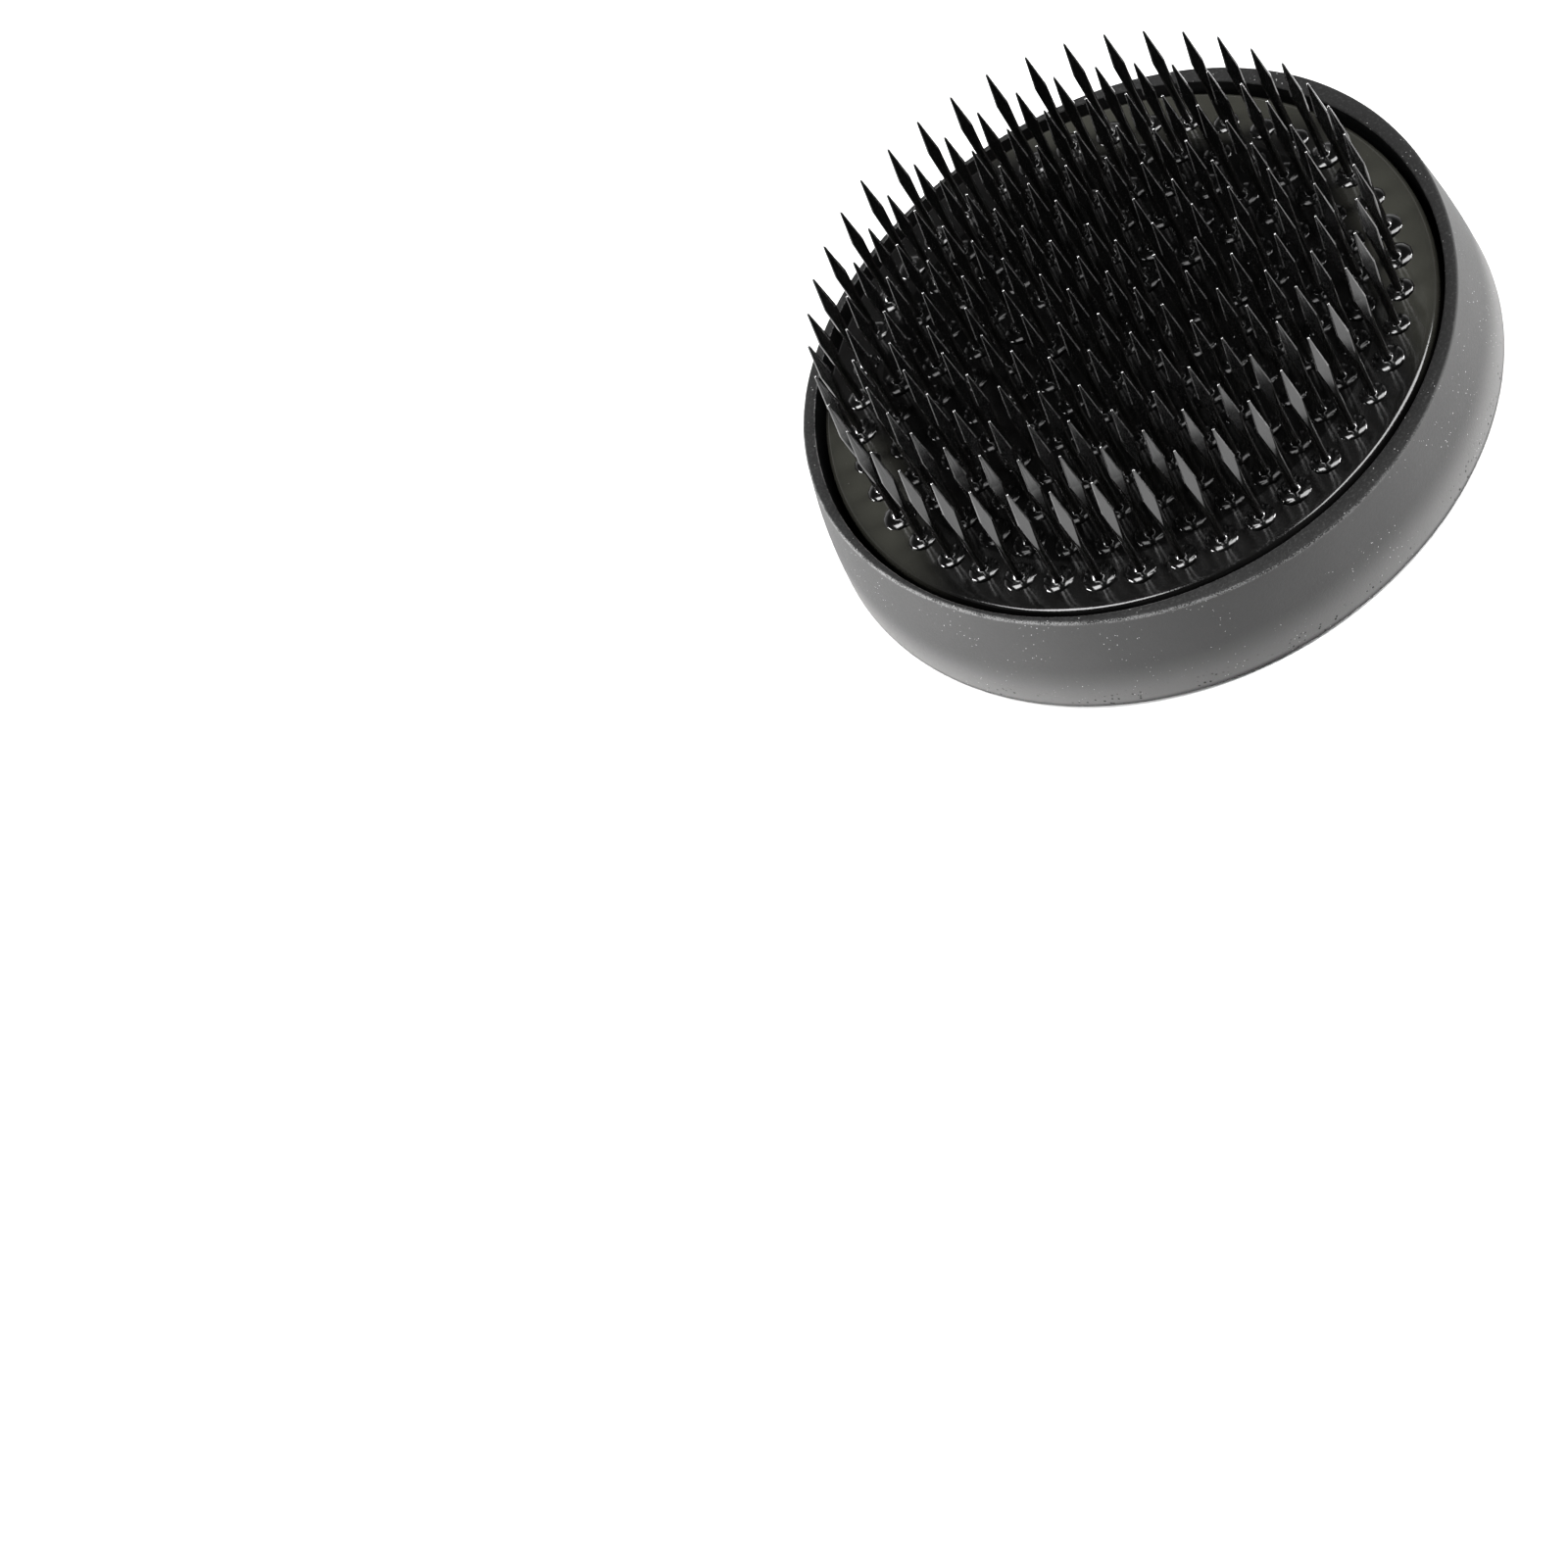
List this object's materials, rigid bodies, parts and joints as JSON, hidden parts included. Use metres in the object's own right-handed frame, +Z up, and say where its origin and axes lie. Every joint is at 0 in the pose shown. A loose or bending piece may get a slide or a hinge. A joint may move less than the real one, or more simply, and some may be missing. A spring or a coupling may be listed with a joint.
{
  "type": "flower frog",
  "caption": "Round flower frog (kenzan): black sharp needles standing in rings on a heavy painted base that sits in a grey rubber ring.",
  "frame": {"origin": "centre of the underside, on the surface it stands on", "axes": "+Z up along the needles; +X runs from the centre needle through the first needle of every ring"},
  "size_m": [0.071, 0.071, 0.0255],
  "materials": {
    "painted_lead": "gloss",
    "needle_enamel": "gloss",
    "grey_rubber": "matte"
  },
  "bodies": {
    "ring": {"rubber_ring": "grey_rubber"},
    "needle_block": {"needle_base": "painted_lead", "needle_centre": "needle_enamel", "needle_inner_01": "needle_enamel", "needle_inner_02": "needle_enamel", "needle_inner_03": "needle_enamel", "needle_inner_04": "needle_enamel", "needle_inner_05": "needle_enamel", "needle_inner_06": "needle_enamel", "needle_ring_2": "needle_enamel", "needle_ring_3": "needle_enamel", "needle_ring_4": "needle_enamel", "needle_ring_5": "needle_enamel", "needle_ring_6": "needle_enamel", "needle_outer_01": "needle_enamel", "needle_outer_02": "needle_enamel", "needle_outer_03": "needle_enamel", "needle_outer_04": "needle_enamel", "needle_outer_05": "needle_enamel", "needle_outer_06": "needle_enamel", "needle_outer_07": "needle_enamel", "needle_outer_08": "needle_enamel", "needle_outer_09": "needle_enamel", "needle_outer_10": "needle_enamel", "needle_outer_11": "needle_enamel", "needle_outer_12": "needle_enamel", "needle_outer_13": "needle_enamel", "needle_outer_14": "needle_enamel", "needle_outer_15": "needle_enamel", "needle_outer_16": "needle_enamel", "needle_outer_17": "needle_enamel", "needle_outer_18": "needle_enamel", "needle_outer_19": "needle_enamel", "needle_outer_20": "needle_enamel", "needle_outer_21": "needle_enamel", "needle_outer_22": "needle_enamel", "needle_outer_23": "needle_enamel", "needle_outer_24": "needle_enamel", "needle_outer_25": "needle_enamel", "needle_outer_26": "needle_enamel", "needle_outer_27": "needle_enamel", "needle_outer_28": "needle_enamel", "needle_outer_29": "needle_enamel", "needle_outer_30": "needle_enamel", "needle_outer_31": "needle_enamel", "needle_outer_32": "needle_enamel", "needle_outer_33": "needle_enamel", "needle_outer_34": "needle_enamel", "needle_outer_35": "needle_enamel", "needle_outer_36": "needle_enamel", "needle_outer_37": "needle_enamel", "needle_outer_38": "needle_enamel", "needle_outer_39": "needle_enamel", "needle_outer_40": "needle_enamel", "needle_outer_41": "needle_enamel", "needle_outer_42": "needle_enamel"}
  },
  "joints": [
    {"name": "block_lift", "type": "slide", "parent": "ring", "child": "needle_block", "axis": [0, 0, 1], "range_m": [0, 0.015]}
  ]
}
